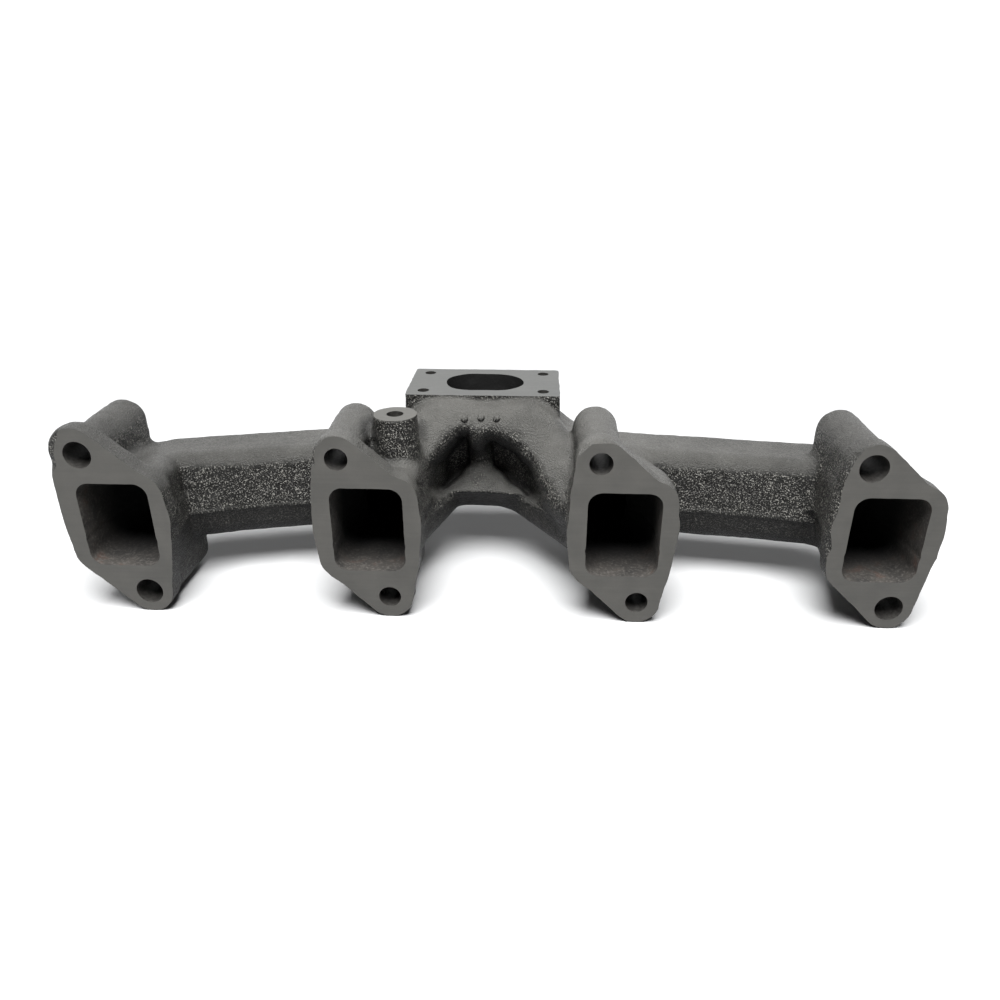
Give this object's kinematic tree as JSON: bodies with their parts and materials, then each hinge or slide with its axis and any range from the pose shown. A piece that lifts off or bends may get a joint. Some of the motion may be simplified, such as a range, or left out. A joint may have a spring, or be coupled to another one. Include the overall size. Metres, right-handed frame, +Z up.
{
  "type": "exhaust manifold",
  "caption": "Cast log exhaust manifold: square ports on diagonal two-bolt flanges with tall bosses, a slanting duct each side, and an oval outlet flange on top.",
  "frame": {"origin": "middle of the casting's footprint, on the surface it stands on: the lowest lobes of the four port flanges", "axes": "+X along the row of ports, +Y away from the cylinder head, +Z up, towards the turbocharger"},
  "size_m": [0.3434, 0.0892, 0.0796],
  "materials": {
    "cast_skin": "rough sand-cast skin, dark grey, lightly oiled",
    "machined_flange": "milled face, dull grey-brown, with cast edges",
    "machined_top": "milled top face, light grey, with cast edges"
  },
  "bodies": {
    "root": {"casting_pips": "cast_skin", "collector": "cast_skin", "elbow_1": "cast_skin", "elbow_4": "cast_skin", "front_shoulder": "cast_skin", "inner_leg_2": "cast_skin", "inner_leg_3": "cast_skin", "lower_bolt_boss_1": "cast_skin", "lower_bolt_boss_2": "cast_skin", "lower_bolt_boss_3": "cast_skin", "lower_bolt_boss_4": "cast_skin", "port_flange_1": "machined_flange", "port_flange_2": "machined_flange", "port_flange_3": "machined_flange", "port_flange_4": "machined_flange", "port_neck_1": "cast_skin", "port_neck_2": "cast_skin", "port_neck_3": "cast_skin", "port_neck_4": "cast_skin", "runner_left": "cast_skin", "runner_right": "cast_skin", "sensor_boss": "cast_skin", "turbo_flange": "machined_top", "turbo_neck": "cast_skin", "upper_bolt_boss_1": "cast_skin", "upper_bolt_boss_2": "cast_skin", "upper_bolt_boss_3": "cast_skin", "upper_bolt_boss_4": "cast_skin"}
  },
  "joints": []
}
